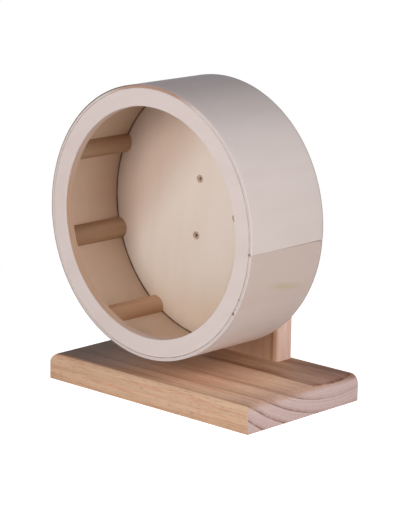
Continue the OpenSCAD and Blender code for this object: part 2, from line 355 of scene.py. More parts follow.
# %% [markdown]
# The axle bolt
# It is a standard bolt of 8 mm with a six-sided head, screwed tight with a lock nut behind the post, where
# its thread shows. A thread could be cut with a spiral tool, but as a surface it is one line: the radius
# goes up and down once for each pitch along the bolt, and the wave is shifted by one pitch for each turn
# about the axis.

# %% Bolt with its thread
pitch, thread_length, thread_depth = 1.25 * MM, 26 * MM, 0.75 * MM
shank_radius, crest_ease = 4.0 * MM, 0.05 * MM
head_height, across_flats = 5.3 * MM, 13.0 * MM
tip_length, tip_bevel = 1.0 * MM, 0.55 * MM
pole = 0.001 * MM


def threaded_bolt(around, per_pitch):
    """Rows run along the bolt from the head's top to the thread's end, and columns run round it.
    Hexagon: half across flats over the cosine of the angle to the nearest flat's middle.
    Head: the lesser of that hexagon and a cone that chamfers its top.
    Thread: crest less depth times a triangle wave of (distance / pitch - turn), faded at both ends.
    Tip: the crest radius shrinks along the last tip length by the bevel."""
    angle = np.linspace(0.0, TURN, around, endpoint=False)[None, :]
    head = np.array([0.0, 0.0, 0.15, 0.5, 0.9, 1.0, 1.0]) * head_height
    start = bolt_high.y - thread_length
    shank = np.array([head_height + bolt_low.y, start - 0.4 * MM])
    thread = np.linspace(start, bolt_high.y, int(thread_length / pitch * per_pitch))
    flat = (angle + math.pi / 6) % (math.pi / 3) - math.pi / 6
    hexagon = across_flats / 2 / np.cos(flat)
    cone = (across_flats / 2 * 0.96 + np.array([-9.0, 0.0, 0.8, 2.0, 4.0, 4.0, -3.0]) * MM)[:, None]
    head_radius = np.maximum(np.minimum(hexagon, cone), pole)
    head_radius[-1] = shank_radius
    shank_rows = np.full((2, around), shank_radius)
    wave = np.abs(2 * (((thread[:, None] - start) / pitch - angle / TURN) % 1.0) - 1)
    to_tip = (bolt_high.y - thread) / tip_length
    fade = np.clip(np.minimum((thread - start) / pitch, to_tip), 0.0, 1.0)[:, None]
    crest = shank_radius - crest_ease - tip_bevel * (1 - np.clip(to_tip, 0.0, 1.0))[:, None]
    thread_rows = crest - thread_depth * wave * fade
    radius = np.concatenate([head_radius, shank_rows, thread_rows, np.full((1, around), pole)])
    y = np.concatenate([bolt_low.y + head, shank, thread, [bolt_high.y]])[:, None]
    y = np.broadcast_to(y, radius.shape)
    return np.stack([radius * np.cos(angle), y, axle_height + radius * np.sin(angle)], axis=2)


bolt = grid_mesh("threaded_bolt", threaded_bolt(48, 8), False, True, True)
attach(bolt, "stand")
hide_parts("axle_bolt")

# %% [markdown]
# Where each pattern is measured
# Every finish reads Object coordinates, which stay with the piece when it turns, in millimetres, so that
# each scale below is a real size. Sawn wood keeps the log's own order: a fibre direction, and rings about
# the pith.

# %% Start and end of a finish
def new_finish(name):
    """An empty material and the two coordinates that every finish starts from.
    They are the place in millimetres and the surface's own direction."""
    material = bpy.data.materials.new(name)
    material.use_nodes = True
    tree = material.node_tree
    tree.nodes.clear()
    source = add_node(tree, "TexCoord").outputs
    place = add_node(tree, "VectorMath", {0: source["Object"], "Scale": 1 / MM}, operation="SCALE").outputs[0]
    return material, tree, place, source["Normal"]


def close_finish(tree, colour, roughness, height, height_mm, **constants):
    """Joins colour, roughness and relief to the surface shader. Relief is height times height_mm."""
    relief = {"Height": height, "Strength": 1.0, "Distance": height_mm * MM}
    relief = add_node(tree, "Bump", relief).outputs[0]
    surface = {"Base Color": colour, "Roughness": roughness, "Normal": relief}
    surface = add_node(tree, "BsdfPrincipled", surface)
    for socket, value in constants.items():
        surface.inputs[socket.replace("_", " ")].default_value = value
    add_node(tree, "OutputMaterial", {"Surface": surface.outputs[0]})


# %% Patterns and layers of colour
# A Mix node joins the colours at inputs 6 and 7 by the amount at input 0, and gives the result at output 2.
# Paint covers what lies under it, and a stain is multiplied with it.
PAINT = {"data_type": "RGBA", "blend_type": "MIX"}
STAIN = {"data_type": "RGBA", "blend_type": "MULTIPLY"}


def streaks(tree, place, stretch, detail):
    """Noise from 0 to 1 with a mean of one half.
    Its cells measure 1 / stretch in millimetres along each direction."""
    cells = add_node(tree, "VectorMath", {0: place, 1: stretch}, operation="MULTIPLY").outputs[0]
    settings = {"Vector": cells, "Scale": 1.0, "Detail": detail, "Roughness": 0.55}
    return add_node(tree, "TexNoise", settings).outputs["Fac"]


def toned(tree, colour, pattern, stops, amount=1.0):
    """Stains the colour with the tones that the stops give to the pattern's value, by amount."""
    tones = add_node(tree, "ValToRGB", {"Fac": pattern}, stops).outputs[0]
    return add_node(tree, "Mix", {0: amount, 6: colour, 7: tones}, **STAIN).outputs[2]


def patch(tree, along, across, centre, half_size):
    """1 at the centre and 0 outside an ellipse with these half sizes, in the units of along and across.
    It falls with the length of (along, across) less the centre, each divided by its half size."""
    spot = add_node(tree, "CombineXYZ", {0: along, 1: across}).outputs[0]
    off = add_node(tree, "VectorMath", {0: spot, 1: (*centre, 0.0)}, operation="SUBTRACT").outputs[0]
    shares = (1 / half_size[0], 1 / half_size[1], 0.0)
    off = add_node(tree, "VectorMath", {0: off, 1: shares}, operation="MULTIPLY").outputs[0]
    away = add_node(tree, "VectorMath", {0: off}, operation="LENGTH").outputs["Value"]
    return add_node(tree, "MapRange", {"Value": away, "To Min": 1.0, "To Max": 0.0},
                    interpolation_type="SMOOTHSTEP").outputs[0]


def angle_round(tree, x, height, start):
    """The angle round the axle, anticlockwise seen from the front, from start to a full turn on."""
    angle = add_node(tree, "Math", {0: height, 1: x}, operation="ARCTAN2").outputs[0]
    angle = add_node(tree, "Math", {0: angle, 1: start}, operation="SUBTRACT").outputs[0]
    return add_node(tree, "Math", {0: angle, 1: TURN, 2: 0.0}, operation="WRAP").outputs[0]


# %% [markdown]
# Bare pine
# The board, the post and the rungs are planed pine without varnish. A growth ring is pale and soft where the
# tree grew fast in spring, darkens through summer, and stops sharply. A board shows those rings as streaks
# on its face and as arcs on its sawn end, because both cut the same cylinders about the pith. One distance
# from the pith, bent a little by noise, therefore gives both, which a flat streak picture could not.

# %% Growth rings
def growth_rings(tree, own, pith, ring_mm, first_ring, wobble_mm):
    """Ring place = (distance from the pith + wobble - first_ring) / ring_mm.
    The wobble is wobble_mm each way over 90 by 22 mm, plus a ripple of 0.9 wobble_mm over 20 by 4 mm.
    A year's darkness is 0.65 + 0.35 sin(2.2 year + 3.77), where its summer wood is darkest.
    Returns the bent distance, the place within a year and the darkness."""
    to_pith = add_node(tree, "VectorMath", {0: own, 1: (0.0, *pith)}, operation="SUBTRACT").outputs[0]
    flat = add_node(tree, "VectorMath", {0: to_pith, 1: (0.0, 1.0, 1.0)}, operation="MULTIPLY").outputs[0]
    distance = add_node(tree, "VectorMath", {0: flat}, operation="LENGTH").outputs["Value"]
    slow = streaks(tree, own, (0.011, 0.045, 0.045), 2.0)
    quick = streaks(tree, own, (0.05, 0.25, 0.25), 2.0)
    bend = add_node(tree, "Math", {0: slow, 1: 2 * wobble_mm, 2: -wobble_mm},
                    operation="MULTIPLY_ADD").outputs[0]
    ripple = add_node(tree, "Math", {0: quick, 1: 0.9 * wobble_mm, 2: bend},
                      operation="MULTIPLY_ADD").outputs[0]
    bent = add_node(tree, "Math", {0: distance, 1: ripple}, operation="ADD").outputs[0]
    count = add_node(tree, "Math", {0: bent, 1: 1 / ring_mm, 2: -first_ring / ring_mm},
                     operation="MULTIPLY_ADD").outputs[0]
    within = add_node(tree, "Math", {0: count}, operation="FRACT").outputs[0]
    number = add_node(tree, "Math", {0: count}, operation="FLOOR").outputs[0]
    year = add_node(tree, "Math", {0: number, 1: 2.2, 2: 3.77}, operation="MULTIPLY_ADD").outputs[0]
    year = add_node(tree, "Math", {0: year}, operation="SINE").outputs[0]
    weight = add_node(tree, "Math", {0: year, 1: 0.35, 2: 0.65}, operation="MULTIPLY_ADD").outputs[0]
    darkening = [(0.0, 0.0), (0.45, 0.06), (0.78, 0.35), (0.93, 1.0), (0.985, 0.9), (1.0, 0.0)]
    summer = add_node(tree, "ValToRGB", {"Fac": within}, darkening).outputs[0]
    dark = add_node(tree, "Math", {0: summer, 1: weight}, operation="MULTIPLY").outputs[0]
    return bent, within, dark


# %% [markdown]
# Darker heartwood, painted shade, and rungs of several tones
# The middle of the log is darker heartwood, and on the board it is darkened further towards the left end as
# painted shade of the wheel, with a spot of painted shadow at the back right. The rungs were cut from several
# lengths of moulding, so each has a tone of its own, and their tones also carry painted shade, darker on the
# left inside the drum. Nine materials could give that, but one that tells the rungs apart by their angle round
# the axle keeps them alike in all else.

# %% Heartwood and the tone of each bar, with painted shade
def heartwood_and_painted_shade(tree, sapwood, distance, lengthwise, crosswise, heart_and_shade):
    """The last argument holds the heartwood's radius, its tones along the board, which are painted shade of
    the wheel towards the left end, and the centre and half size of a spot of painted shadow at the back right.
    Within 1.5 mm of that radius the sapwood's colour turns into those tones."""
    radius, stops, painted_shadow_centre, painted_shadow_size = heart_and_shade
    inside = {"Value": distance, "From Min": radius - 1.5, "From Max": radius + 1.5,
              "To Min": 1.0, "To Max": 0.0}
    inside = add_node(tree, "MapRange", inside, interpolation_type="SMOOTHSTEP").outputs[0]
    along = {"Value": lengthwise, "From Min": board_low.x / MM, "From Max": board_high.x / MM}
    along = add_node(tree, "MapRange", along).outputs[0]
    # Towards the board's left end these tones are painted shade of the wheel.
    tones = add_node(tree, "ValToRGB", {"Fac": along}, stops).outputs[0]
    colour = add_node(tree, "Mix", {0: inside, 6: sapwood, 7: tones}, **PAINT).outputs[2]
    # A spot of painted shadow darkens the board's top at the back right, behind the drum and the post.
    spot = patch(tree, lengthwise, crosswise, painted_shadow_centre, painted_shadow_size)
    return add_node(tree, "Mix", {0: spot, 6: colour, 7: linear("#BFB0AB")}, **STAIN).outputs[2]


def bar_tones_and_painted_shade(tree, colour, x, z, bars):
    """Multiplies the colour by the tone of the bar whose middle is nearest in angle, its own tone with painted
    shade.
    The first bar stands at the joint of the sheet, and the others follow anticlockwise."""
    above = add_node(tree, "Math", {0: z, 1: axle_height / MM}, operation="SUBTRACT").outputs[0]
    angle = angle_round(tree, x, above, seam - math.pi / len(bars))
    share = add_node(tree, "Math", {0: angle, 1: 1 / TURN}, operation="MULTIPLY").outputs[0]
    tones = [(i / len(bars), bar) for i, bar in enumerate(bars)]
    tones = add_node(tree, "ValToRGB", {"Fac": share}, tones)
    tones.color_ramp.interpolation = "CONSTANT"
    return add_node(tree, "Mix", {0: 1.0, 6: colour, 7: tones.outputs[0]}, **STAIN).outputs[2]


# %% [markdown]
# Wood cut along the grain and across it
# Along the grain the cut fibres show as fine lines. Across the grain they are open tubes, which look greyer
# and finely dotted, and there the rings show as lines with a sharp outer side. The sawn end could have a
# second material on its own faces. A single one that reads which way the surface looks also follows the
# rounded edges, where long grain turns into sawn end.

# %% Fibres, and the sawn end
def long_figure(tree, colour, own, stain, figure):
    """Multiplies the colour by streaks of several widths, all stretched along the fibres.
    Returns the colour and the fibres."""
    # Pinkish veins, 90 mm long and 3 mm wide, wander along the fibres.
    vein = streaks(tree, own, (0.011, 0.3, 0.3), 3.0)
    strength = [(0.52, 0.0), (0.6, 0.7 * figure), (0.66, 0.25 * figure)]
    vein = add_node(tree, "ValToRGB", {"Fac": vein}, strength).outputs[0]
    colour = add_node(tree, "Mix", {0: vein, 6: colour, 7: linear("#F3D9D2")}, **STAIN).outputs[2]
    # Fibres are about 0.03 mm wide in the tree, and are drawn 0.8 mm wide so that they show.
    fibre = streaks(tree, own, (0.018, 1.25, 1.25), 4.0)
    colour = toned(tree, colour, fibre, [(0.28, "#F1EAE5"), (0.5, "#FBF9F7"), (0.74, "#FFFFFF")], figure)
    shade = streaks(tree, own, (0.006, 0.05, 0.05), 2.0)
    colour = toned(tree, colour, shade, [(0.3, "#EADFD6"), (0.6, "#FFFFFF")])
    # Resin shows as short thin dashes, 7 mm long and 0.4 mm wide.
    resin = streaks(tree, own, (0.14, 2.4, 2.4), 0.0)
    resin = add_node(tree, "ValToRGB", {"Fac": resin}, [(0.66, 0.0), (0.74, 0.5 * figure)]).outputs[0]
    return add_node(tree, "Mix", {0: resin, 6: colour, 7: linear(stain)}, **STAIN).outputs[2], fibre


def sawn_end(tree, own, crosswise, bent, within, patchy, sawn, stain):
    """The sawn colour, multiplied by the ring lines, by bands between them and by dots.
    Returns the colour and the dots."""
    line = [(0.0, 0.0), (0.6, 0.04), (0.84, 0.3), (0.94, 1.0), (0.99, 0.9), (1.0, 0.0)]
    line = add_node(tree, "ValToRGB", {"Fac": within}, line).outputs[0]
    fading = add_node(tree, "Math", {0: patchy, 1: line}, operation="MULTIPLY").outputs[0]
    # The lines grow faint across the end, where the rings lie nearly level.
    level_part = {"Value": crosswise, "From Min": -15.0, "From Max": 30.0, "To Min": 1.0, "To Max": 0.35}
    level_part = add_node(tree, "MapRange", level_part).outputs[0]
    fading = add_node(tree, "Math", {0: fading, 1: level_part}, operation="MULTIPLY").outputs[0]
    cut = add_node(tree, "Mix", {0: fading, 6: linear(sawn), 7: linear(stain)}, **STAIN).outputs[2]
    # Between two dark lines the ring has paler and darker bands, about 1 mm wide, that run with it.
    bands = add_node(tree, "TexNoise", {"W": bent, "Scale": 0.9, "Detail": 2.0}, noise_dimensions="1D")
    cut = toned(tree, cut, bands.outputs["Fac"], [(0.32, "#F3ECE9"), (0.6, "#FFFFFF")])
    tubes = streaks(tree, own, (1.6, 1.6, 1.6), 3.0)
    return toned(tree, cut, tubes, [(0.3, "#E6E0DC"), (0.62, "#FFFFFF")]), tubes


# %% Pine
def pine(name, order, pith, ring_mm, first_ring, wobble_mm, early, stain, sawn,
         heart_and_shade=None, figure=1.0, painted_face_shade=None, bars=None):
    """order lists which coordinates are along the fibres, across and up.
    pith is the place, across and up, of the log's middle.
    early is the spring wood's colour, and summer wood is that colour times stain. sawn is the end's colour.
    figure is how strongly fibres and veins show, and a tone of painted shade may darken the faces that look
    along `up`.
    A board with heartwood is given its heartwood and painted shade, and bars lists a tone for each bar that
    stands round the axle, with painted shade."""
    material, tree, place, facing = new_finish(name)
    parts = add_node(tree, "SeparateXYZ", {0: place}).outputs
    lengthwise, crosswise, upwards = [parts[i] for i in order]
    own = add_node(tree, "CombineXYZ", {0: lengthwise, 1: crosswise, 2: upwards}).outputs[0]
    sides = add_node(tree, "SeparateXYZ", {0: facing}).outputs
    facings = [add_node(tree, "Math", {0: sides[i]}, operation="ABSOLUTE") for i in order]
    end_on, side_on, face_on = [part.outputs[0] for part in facings]
    bent, within, dark = growth_rings(tree, own, pith, ring_mm, first_ring, wobble_mm)
    patchy = streaks(tree, own, (0.02, 0.12, 0.12), 1.0)
    patchy = {"Value": patchy, "From Min": 0.3, "From Max": 0.6, "To Min": 0.55, "To Max": 1.0}
    patchy = add_node(tree, "MapRange", patchy).outputs[0]
    # A face that cuts the rings nearly at right angles, as the board's front does, shows them thin and faint.
    steep = add_node(tree, "MapRange", {"Value": side_on, "To Min": 1.0, "To Max": 0.4}).outputs[0]
    shown = add_node(tree, "Math", {0: patchy, 1: steep}, operation="MULTIPLY").outputs[0]
    shown = add_node(tree, "Math", {0: dark, 1: shown}, operation="MULTIPLY").outputs[0]
    colour = linear(early)
    if heart_and_shade:
        colour = heartwood_and_painted_shade(tree, colour, bent, lengthwise, crosswise, heart_and_shade)
    colour = add_node(tree, "Mix", {0: shown, 6: colour, 7: linear(stain)}, **STAIN).outputs[2]
    # Painted shade on the faces that look along up, such as the post's front and back.
    if painted_face_shade:
        painted_face_shade_amount = add_node(tree, "MapRange", {"Value": face_on, "From Min": 0.3, "From Max": 0.95},
                           interpolation_type="SMOOTHSTEP").outputs[0]
        colour = add_node(tree, "Mix", {0: painted_face_shade_amount, 6: colour, 7: linear(painted_face_shade)}, **STAIN).outputs[2]
    # Each rung's own tone, with painted shade inside the drum.
    if bars:
        colour = bar_tones_and_painted_shade(tree, colour, parts[0], parts[2], bars)
    colour, fibre = long_figure(tree, colour, own, stain, figure)
    cut, tubes = sawn_end(tree, own, crosswise, bent, within, patchy, sawn, stain)
    end = add_node(tree, "MapRange", {"Value": end_on, "From Min": 0.58, "From Max": 0.97},
                   interpolation_type="SMOOTHSTEP").outputs[0]
    colour = add_node(tree, "Mix", {0: end, 6: colour, 7: cut}, **PAINT).outputs[2]
    rough = add_node(tree, "MapRange", {"Value": dark, "To Min": 0.72, "To Max": 0.55}).outputs[0]
    height = add_node(tree, "Math", {0: fibre, 1: 0.6, 2: dark}, operation="MULTIPLY_ADD").outputs[0]
    height = add_node(tree, "Math", {0: tubes, 1: 0.5, 2: height}, operation="MULTIPLY_ADD").outputs[0]
    close_finish(tree, colour, rough, height, 0.05, IOR=1.5, Specular_IOR_Level=0.2)
    return material


# %% [markdown]
# Marks on the bent sheet
# Veneer is never one colour from end to end. The end below the joint is a shade browner than the end above
# it, a greenish mineral streak runs along the fibres under it, and at the top left the sawn front edge shows
# a brown core. Other tones are painted light and shade: inside, darker over the top left and paler below it
# and towards the front; outside, a pale patch of bounced light near the bottom and a dark back rim. They could
# be painted on a picture that is wrapped round the sheet, but a picture blurs close up. So each is a soft
# patch, placed by its distance along the sheet or by its share of a turn from the joint.

# %% Tones round the drum
def inner_painted_light_and_shade(tree, colour, along, share):
    """Painted shade and light on the inner veneer: greyer and darker over the top left, and paler below it.
    It is also painted paler towards the open front, where light reaches in."""
    # Painted shade over the top left inside the drum, and painted light below it.
    colour = toned(tree, colour, share, [
        (0.0, "#F0EEEC"), (0.28, "#E2DFDC"), (0.41, "#E0DDD8"), (0.5, "#F2EFEC"), (0.6, "#FFFFFF"),
        (0.8, "#FFFFFF"), (1.0, "#F0EEEC")])
    # Painted light: paler towards the open front.
    painted_light_towards_front = {"Value": along, "From Min": ring_high.y / MM, "From Max": disc_low.y / MM}
    painted_light_towards_front = add_node(tree, "MapRange", painted_light_towards_front).outputs[0]
    return toned(tree, colour, painted_light_towards_front, [(0.0, "#FFFFFF"), (0.45, "#F8F6F3"), (1.0, "#E0D9D2")])


def edge_tone(tree, share, number):
    """The tone of the sawn edge round the drum.
    All three sheets are brown at the top, and the outer one is nearly black at the upper left."""
    browned = [(0.0, "#FFFFFF"), (0.18, "#FFFFFF"), (0.22, "#D2B3A0"), (0.3, "#D3B7A7"), (0.335, "#FFFFFF"),
               (1.0, "#FFFFFF")]
    browned = add_node(tree, "ValToRGB", {"Fac": share}, browned).outputs[0]
    outer = add_node(tree, "Math", {0: number, 1: 1.5}, operation="GREATER_THAN").outputs[0]
    return toned(tree, browned, share, [
        (0.0, "#FFFFFF"), (0.27, "#FFFFFF"), (0.32, "#332D2A"), (0.42, "#38312E"), (0.47, "#756C67"),
        (0.6, "#7E7570"), (0.7, "#C4BDB9"), (0.76, "#FFFFFF")], outer)


# %% Marks on the outside
# Each place is along the axle and then round the sheet, in millimetres.
streak_lean, streak_centre, streak_half_size = 0.16, (-16.0, -33.1), (30.0, 4.6)


def sheet_marks(tree, colour, along, across, outside, unrolled, share):
    """The outside drifts a little in tone, has a pale pink patch of painted bounced light near the bottom,
    turns browner towards the lower end, and has a mineral streak.
    The streak's centre is counted from the joint at the lower end, and it leans across the sheet."""
    colour = toned(tree, colour, share, [
        (0.0, "#ECEBEA"), (0.05, "#EDECEB"), (0.09, "#F7F7F7"), (0.13, "#FFFFFF"), (0.18, "#FBFBFB"),
        (0.26, "#EBE9EE"), (0.75, "#F5F2F0"), (0.86, "#FDFDFD"), (0.93, "#F1F0F1"), (0.98, "#E6E5E6"),
        (1.0, "#E5E4E5")], outside)
    # Painted light: a pale pink patch near the bottom of the drum, as if lit by light bounced up from the
    # board.
    painted_bounce_light = [(0.72, 0.0), (0.8, 0.35), (0.83, 0.3), (0.9, 0.0)]
    painted_bounce_light = add_node(tree, "ValToRGB", {"Fac": share}, painted_bounce_light)
    painted_bounce_light.color_ramp.interpolation = "EASE"
    painted_bounce_light = add_node(tree, "Math", {0: painted_bounce_light.outputs[0], 1: outside}, operation="MULTIPLY").outputs[0]
    colour = add_node(tree, "Mix", {0: painted_bounce_light, 6: colour, 7: linear("#F3DCCF")}, **PAINT).outputs[2]
    lower = add_node(tree, "MapRange", {"Value": unrolled, "From Min": 4.9, "From Max": 6.1},
                     interpolation_type="SMOOTHSTEP").outputs[0]
    colour = add_node(tree, "Mix", {0: lower, 6: colour, 7: linear("#F6EEE6")}, **STAIN).outputs[2]
    leaning = add_node(tree, "Math", {0: along, 1: streak_lean, 2: across},
                       operation="MULTIPLY_ADD").outputs[0]
    centre = (streak_centre[0], TURN * skin_radius / MM + streak_centre[1])
    mineral = patch(tree, along, leaning, centre, streak_half_size)
    mineral = add_node(tree, "Math", {0: mineral, 1: outside}, operation="MULTIPLY").outputs[0]
    colour = add_node(tree, "Mix", {0: mineral, 6: colour, 7: linear("#F2F4DC")}, **STAIN).outputs[2]
    # The outer corner of the back edge is darkened, as painted shade along the drum's outline.
    painted_rim_shade = {"Value": along, "From Min": sheet_back / MM - 1.1, "From Max": sheet_back / MM - 0.3}
    painted_rim_shade = add_node(tree, "MapRange", painted_rim_shade).outputs[0]
    painted_rim_shade = add_node(tree, "Math", {0: painted_rim_shade, 1: outside}, operation="MULTIPLY").outputs[0]
    return add_node(tree, "Mix", {0: painted_rim_shade, 6: colour, 7: linear("#A9A09C")}, **STAIN).outputs[2]


# %% [markdown]
# Glue, shade and specks
# Glue and painted shade show as a brown line where a panel meets the sheet, and a chip of the front edge holds
# a dark speck of painted shade. A bead of glue could be a thin ring of its own, but on the real wheel it has
# soaked into both woods. So the wood darkens with its closeness to the joint, for the glue and for the shade.
# Each line of glue and shade has a place along Y, a half width in millimetres and a darkness. Each speck has
# an angle in degrees, a radius and a half size in millimetres, and a darkness.

# %% Lines of glue and shade, and specks
# Lines of glue and painted shade, and specks of painted shade in the chips.
glue_and_shade_lines = [(ring_low.y, 0.55, 0.42), (disc_low.y, 1.2, 0.85), (disc_high.y, 0.6, 0.6)]
specks = [(-3.9, 97.9, 1.7, 0.75), (-24.3, 97.4, 1.3, 0.55), (-29.0, 98.6, 0.9, 0.4), (-31.4, 98.0, 1.8, 0.8)]


def from_axle(tree, centred):
    """The direction from the axle's line to a place, and its length, which is the radius."""
    radial = add_node(tree, "VectorMath", {0: centred, 1: (1.0, 0.0, 1.0)}, operation="MULTIPLY").outputs[0]
    return radial, add_node(tree, "VectorMath", {0: radial}, operation="LENGTH").outputs["Value"]


def chip_shade(tree, centred):
    """The darkness of the specks: full near a speck's centre on the front plane, and 0 beyond its size."""
    darkest = 0.0
    for degrees, radius, half_size, strength in specks:
        angle = math.radians(degrees)
        centre = (radius * math.cos(angle), ring_low.y / MM, radius * math.sin(angle))
        off = add_node(tree, "VectorMath", {0: centred, 1: centre}, operation="DISTANCE").outputs["Value"]
        speck = {"Value": off, "From Min": 0.3 * half_size, "From Max": half_size,
                 "To Min": strength, "To Max": 0.0}
        speck = add_node(tree, "MapRange", speck).outputs[0]
        darkest = add_node(tree, "Math", {0: darkest, 1: speck}, operation="MAXIMUM").outputs[0]
    return darkest


def glue_and_shade_line(tree, centred, place):
    """Glue and shade where a panel meets the sheet: faint at the ring's front, dark at the disc's two faces.
    A line's darkness falls with the length of (radius - joint radius, y - line's y) over its half width.
    Noise makes that length uneven, and the darkest line counts."""
    radius = from_axle(tree, centred)[1]
    y = add_node(tree, "SeparateXYZ", {0: centred}).outputs[1]
    section_place = add_node(tree, "CombineXYZ", {0: radius, 1: y}).outputs[0]
    uneven = streaks(tree, place, (0.12, 0.12, 0.12), 3.0)
    darkest = chip_shade(tree, centred)
    for circle, half_width, strength in glue_and_shade_lines:
        joint = ((sheet_inner - glue_gap) / MM, circle / MM, 0.0)
        off = add_node(tree, "VectorMath", {0: section_place, 1: joint}, operation="SUBTRACT").outputs[0]
        away = add_node(tree, "VectorMath", {0: off}, operation="LENGTH").outputs["Value"]
        away = add_node(tree, "Math", {0: away, 1: 1 / half_width, 2: uneven},
                        operation="MULTIPLY_ADD").outputs[0]
        shade = {"Value": away, "From Min": 0.75, "From Max": 1.5, "To Min": strength, "To Max": 0.0}
        shade = add_node(tree, "MapRange", shade).outputs[0]
        if circle == ring_low.y:
            # At the front the glue and its painted shade show only on the right and below.
            lower_right = add_node(tree, "VectorMath", {0: centred, 1: (0.8, 0.0, -0.6)},
                                   operation="DOT_PRODUCT")
            lower_right = {"Value": lower_right.outputs["Value"], "From Min": -20.0, "From Max": 40.0}
            lower_right = add_node(tree, "MapRange", lower_right).outputs[0]
            shade = add_node(tree, "Math", {0: shade, 1: lower_right}, operation="MULTIPLY").outputs[0]
        darkest = add_node(tree, "Math", {0: darkest, 1: shade}, operation="MAXIMUM").outputs[0]
    return darkest


# %% [markdown]
# Plywood
# Plywood is thin sheets of wood glued with their fibres crossed. Its face is a plain pale veneer, and its
# edge shows each sheet in turn, either sawn along the fibres and pale, or sawn across them and darker. How
# dark a spot is depends only on the angle between the surface and the fibres of the sheet that it lies in,
# so one rule gives the face, the edge and the way an edge changes round a disc.

# %% Places on the bent sheet and on a flat panel
along_axle = (0.0, 1.0, 0.0)


def unrolled_place(tree, centred):
    """Along the fibres is the axle's direction, across them is the way round it, and depth is the radius.
    Returns both directions, the three distances, and the angle from the joint."""
    radial, radius = from_axle(tree, centred)
    outward = add_node(tree, "VectorMath", {0: radial}, operation="NORMALIZE").outputs[0]
    way_round = add_node(tree, "VectorMath", {0: outward, 1: along_axle},
                         operation="CROSS_PRODUCT").outputs[0]
    x, y, z = add_node(tree, "SeparateXYZ", {0: centred}).outputs
    unrolled = angle_round(tree, x, z, seam)
    across = add_node(tree, "Math", {0: unrolled, 1: skin_radius / MM}, operation="MULTIPLY").outputs[0]
    return along_axle, way_round, y, across, radius, unrolled


def panel_place(tree, centred, turn):
    """Along the fibres is the direction at the angle turn, across them is square to it, and depth is y.
    Returns both directions, the three distances, and no angle."""
    first, second = (math.cos(turn), 0.0, math.sin(turn)), (-math.sin(turn), 0.0, math.cos(turn))
    along = add_node(tree, "VectorMath", {0: centred, 1: first}, operation="DOT_PRODUCT").outputs["Value"]
    across = add_node(tree, "VectorMath", {0: centred, 1: second}, operation="DOT_PRODUCT").outputs["Value"]
    return first, second, along, across, add_node(tree, "SeparateXYZ", {0: centred}).outputs[1], None


def face_shades(tree, colour, centred, browned):
    """The face turns browner towards the upper left, as painted shade of the ring, and a little darker towards
    the bottom.
    Each shade grows with the distance from the axle along one direction, as shares of the disc's radius."""
    towards = [((-0.75, 0.0, 0.66), 0.22, 0.62, browned), ((0.2, 0.0, -0.98), 0.35, 0.85, "#F8EFE6")]
    for direction, start, end, tone in towards:
        reach = add_node(tree, "VectorMath", {0: centred, 1: direction},
                         operation="DOT_PRODUCT").outputs["Value"]
        amount = {"Value": reach, "From Min": start * disc_radius / MM, "From Max": end * disc_radius / MM}
        amount = add_node(tree, "MapRange", amount, interpolation_type="SMOOTHSTEP").outputs[0]
        colour = add_node(tree, "Mix", {0: amount, 6: colour, 7: linear(tone)}, **STAIN).outputs[2]
    return colour


# %% Sheets of a plywood, and its veneer
def sheet_order(tree, facing, first, second, depth, ply_mm, start_mm, sheet_count):
    """Depth in sheets = (depth - start_mm) / ply_mm.
    Sheet number = its whole part, kept between the first sheet and the last. Every second sheet is crossed.
    Sawn share = size of the dot product of the surface's direction and that sheet's fibres, eased."""
    sheets = add_node(tree, "Math", {0: depth, 1: 1 / ply_mm, 2: -start_mm / ply_mm},
                      operation="MULTIPLY_ADD").outputs[0]
    number = add_node(tree, "Math", {0: sheets}, operation="FLOOR").outputs[0]
    number = add_node(tree, "Clamp", {"Value": number, "Min": 0.0, "Max": sheet_count - 1.0}).outputs[0]
    crossed = add_node(tree, "Math", {0: number, 1: 2.0}, operation="MODULO").outputs[0]
    straight_cut = add_node(tree, "VectorMath", {0: facing, 1: first},
                            operation="DOT_PRODUCT").outputs["Value"]
    crossed_cut = add_node(tree, "VectorMath", {0: facing, 1: second},
                           operation="DOT_PRODUCT").outputs["Value"]
    cut = add_node(tree, "Mix", {"Factor": crossed, 2: straight_cut, 3: crossed_cut},
                   data_type="FLOAT").outputs[0]
    cut = add_node(tree, "Math", {0: cut}, operation="ABSOLUTE").outputs[0]
    cut = add_node(tree, "MapRange", {"Value": cut, "From Min": 0.15, "From Max": 0.9},
                   interpolation_type="SMOOTHSTEP").outputs[0]
    return sheets, number, crossed, cut


def veneer(tree, own, centred, plain, sawn, browned):
    """The plain colour with the figure of a peeled veneer: soft tones of 120 by 25 mm, fibres and pores.
    Returns the colour and the fibres."""
    tone = streaks(tree, own, (0.008, 0.04, 0.0), 2.0)
    colour = toned(tree, plain, tone, [(0.3, "#FBF8F5"), (0.5, "#FEFDFC"), (0.7, "#FFFFFF")])
    # A panel's face may take painted shade towards the upper left.
    if browned:
        colour = face_shades(tree, colour, centred, browned)
    # Fibres are 0.4 mm wide.
    fibre = streaks(tree, own, (0.04, 2.4, 2.4), 2.0)
    colour = toned(tree, colour, fibre, [(0.3, "#FDFCFB"), (0.6, "#FFFFFF")])
    # Pores are cut open as dashes 3 mm long.
    pores = streaks(tree, own, (0.3, 2.6, 2.6), 0.0)
    pores = add_node(tree, "ValToRGB", {"Fac": pores}, [(0.69, 0.0), (0.78, 0.1)]).outputs[0]
    return add_node(tree, "Mix", {0: pores, 6: colour, 7: linear(sawn)}, **PAINT).outputs[2], fibre


